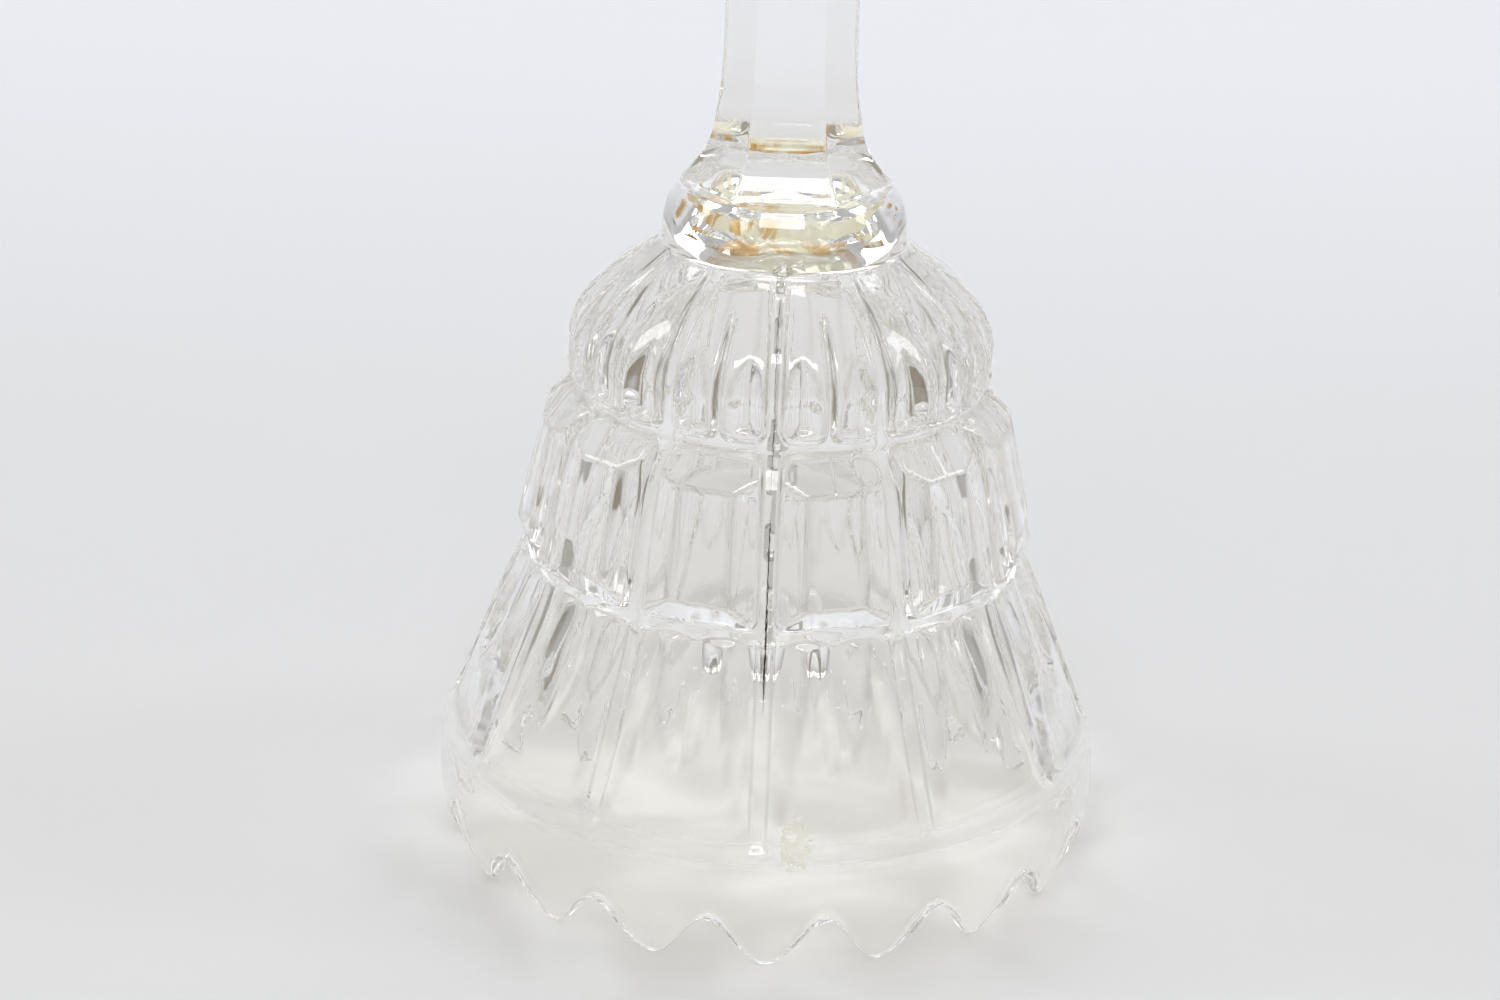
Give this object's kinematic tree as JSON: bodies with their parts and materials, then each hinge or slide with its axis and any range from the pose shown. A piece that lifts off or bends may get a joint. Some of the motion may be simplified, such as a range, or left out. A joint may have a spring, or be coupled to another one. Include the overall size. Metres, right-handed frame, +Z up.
{
  "type": "glass table bell",
  "caption": "Clear pressed-glass table bell with a tiered, panelled body, scalloped rim, six-sided solid handle, and a glass bead clapper hung on a fine chain from glue in the crown.",
  "frame": {"origin": "centre of the rim circle, in the plane of the scallop tips that the bell stands on", "axes": "+Z up along the bell's axis to the handle, -Y towards the viewer's side, where one main groove with the mould seam is; +X to the viewer's right"},
  "size_m": [0.0848, 0.0848, 0.165],
  "materials": {
    "bell_glass": "clear pressed glass, fire polished",
    "glue": "cured clear adhesive, yellowed",
    "wire": "bright nickel-plated wire",
    "bead_glass": "clear polished glass"
  },
  "bodies": {
    "bell": {"bell_glass": "bell_glass", "crown_glue": "glue", "anchor_eye": "wire"},
    "link_01": {"chain_link_01": "wire"},
    "link_02": {"chain_link_02": "wire"},
    "link_03": {"chain_link_03": "wire"},
    "link_04": {"chain_link_04": "wire"},
    "link_05": {"chain_link_05": "wire"},
    "link_06": {"chain_link_06": "wire"},
    "link_07": {"chain_link_07": "wire"},
    "link_08": {"chain_link_08": "wire"},
    "link_09": {"chain_link_09": "wire"},
    "link_10": {"chain_link_10": "wire"},
    "clapper": {"head_pin": "wire", "clapper_bead": "bead_glass"}
  },
  "joints": [
    {"name": "link_01_swing", "type": "hinge", "parent": "bell", "child": "link_01", "pos_m": [0, 0, 0.076], "axis": [1, 0, 0], "range_deg": [-12, 12]},
    {"name": "link_02_swing", "type": "hinge", "parent": "link_01", "child": "link_02", "pos_m": [0, 0, 0.0721], "axis": [0, 1, 0], "range_deg": [-12, 12]},
    {"name": "link_03_swing", "type": "hinge", "parent": "link_02", "child": "link_03", "pos_m": [0, 0, 0.0682], "axis": [1, 0, 0], "range_deg": [-3, 3]},
    {"name": "link_04_swing", "type": "hinge", "parent": "link_03", "child": "link_04", "pos_m": [0, 0, 0.0643], "axis": [0, 1, 0], "range_deg": [-3, 3]},
    {"name": "link_05_swing", "type": "hinge", "parent": "link_04", "child": "link_05", "pos_m": [0, 0, 0.0604], "axis": [1, 0, 0], "range_deg": [-3, 3]},
    {"name": "link_06_swing", "type": "hinge", "parent": "link_05", "child": "link_06", "pos_m": [0, 0, 0.0565], "axis": [0, 1, 0], "range_deg": [-3, 3]},
    {"name": "link_07_swing", "type": "hinge", "parent": "link_06", "child": "link_07", "pos_m": [0, 0, 0.0526], "axis": [1, 0, 0], "range_deg": [-3, 3]},
    {"name": "link_08_swing", "type": "hinge", "parent": "link_07", "child": "link_08", "pos_m": [0, 0, 0.0487], "axis": [0, 1, 0], "range_deg": [-3, 3]},
    {"name": "link_09_swing", "type": "hinge", "parent": "link_08", "child": "link_09", "pos_m": [0, 0, 0.0448], "axis": [1, 0, 0], "range_deg": [-3, 3]},
    {"name": "link_10_swing", "type": "hinge", "parent": "link_09", "child": "link_10", "pos_m": [0, 0, 0.0409], "axis": [0, 1, 0], "range_deg": [-3, 3]},
    {"name": "clapper_swing", "type": "hinge", "parent": "link_10", "child": "clapper", "pos_m": [0, 0, 0.037], "axis": [1, 0, 0], "range_deg": [-6, 6]}
  ]
}
